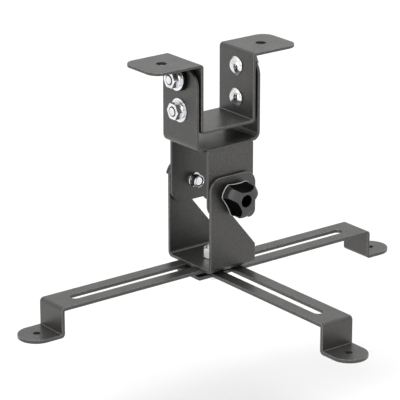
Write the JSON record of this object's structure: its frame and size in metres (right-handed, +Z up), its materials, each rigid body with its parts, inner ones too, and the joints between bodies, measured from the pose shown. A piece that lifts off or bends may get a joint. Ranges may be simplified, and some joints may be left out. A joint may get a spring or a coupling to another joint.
{
  "type": "projector ceiling mount",
  "caption": "Folded steel ceiling mount for a small projector: flanged ceiling bracket, rolling drop bracket, hook-on tilt bracket with star knobs, and slotted arms with round feet.",
  "frame": {"origin": "midway between the two ceiling holes, on the ceiling plane", "axes": "+Z up to the ceiling, +X along the row of ceiling holes towards the right arm, -Y towards the front arm"},
  "size_m": [0.2818, 0.1753, 0.1546],
  "materials": {
    "powder_coat": "satin dark grey powder coat",
    "zinc": "bright zinc plate",
    "nylon": "matte",
    "knob_plastic": "fine-textured black"
  },
  "bodies": {
    "ceiling": {"ceiling_bracket": "powder_coat", "pivot_bolt_left": "zinc", "lock_bolt_left": "zinc", "pivot_nut_left": "zinc", "lock_nut_left": "zinc", "pivot_spacer_left": "nylon", "lock_spacer_left": "nylon", "friction_washer_left": "nylon", "pivot_bolt_right": "zinc", "lock_bolt_right": "zinc", "pivot_nut_right": "zinc", "lock_nut_right": "zinc", "pivot_spacer_right": "nylon", "lock_spacer_right": "nylon", "friction_washer_right": "nylon"},
    "drop": {"drop_bracket": "powder_coat", "threaded_insert_front": "zinc", "threaded_insert_back": "zinc"},
    "tilt": {"tilt_bracket": "powder_coat"},
    "front_knob": {"star_knob_front": "knob_plastic", "knob_stud_front": "zinc"},
    "back_knob": {"star_knob_back": "knob_plastic", "knob_stud_back": "zinc"},
    "left_turn": {"clamp_nut": "zinc"},
    "front_turn": {"clamp_bolt": "zinc"},
    "right_turn": {"clamp_washer": "zinc"},
    "left_arm": {"arm_left": "powder_coat"},
    "front_arm": {"arm_front": "powder_coat"},
    "right_arm": {"arm_right": "powder_coat"}
  },
  "joints": [
    {"name": "roll", "type": "hinge", "parent": "ceiling", "child": "drop", "pos_m": [0, 0, -0.011], "axis": [1, 0, 0], "range_deg": [-10, 10]},
    {"name": "tilt", "type": "hinge", "parent": "drop", "child": "tilt", "pos_m": [0, 0, -0.0842], "axis": [0, 1, 0], "range_deg": [-20, 20]},
    {"name": "front_knob_turn", "type": "hinge", "parent": "drop", "child": "front_knob", "pos_m": [0, 0, -0.0842], "axis": [0, 1, 0], "continuous": true},
    {"name": "back_knob_turn", "type": "hinge", "parent": "drop", "child": "back_knob", "pos_m": [0, 0, -0.0842], "axis": [0, 1, 0], "continuous": true},
    {"name": "left_arm_swivel", "type": "hinge", "parent": "tilt", "child": "left_turn", "pos_m": [0, 0, -0.1314], "axis": [0, 0, 1], "range_deg": [-30, 30]},
    {"name": "left_arm_slide", "type": "slide", "parent": "left_turn", "child": "left_arm", "axis": [-1, 0, 0], "range_m": [-0.045, 0.007]},
    {"name": "front_arm_swivel", "type": "hinge", "parent": "tilt", "child": "front_turn", "pos_m": [0, 0, -0.1314], "axis": [0, 0, 1], "range_deg": [-30, 30]},
    {"name": "front_arm_slide", "type": "slide", "parent": "front_turn", "child": "front_arm", "axis": [0, -1, 0], "range_m": [-0.045, 0.007]},
    {"name": "right_arm_swivel", "type": "hinge", "parent": "tilt", "child": "right_turn", "pos_m": [0, 0, -0.1314], "axis": [0, 0, 1], "range_deg": [-30, 30]},
    {"name": "right_arm_slide", "type": "slide", "parent": "right_turn", "child": "right_arm", "axis": [1, 0, 0], "range_m": [-0.045, 0.007]}
  ]
}
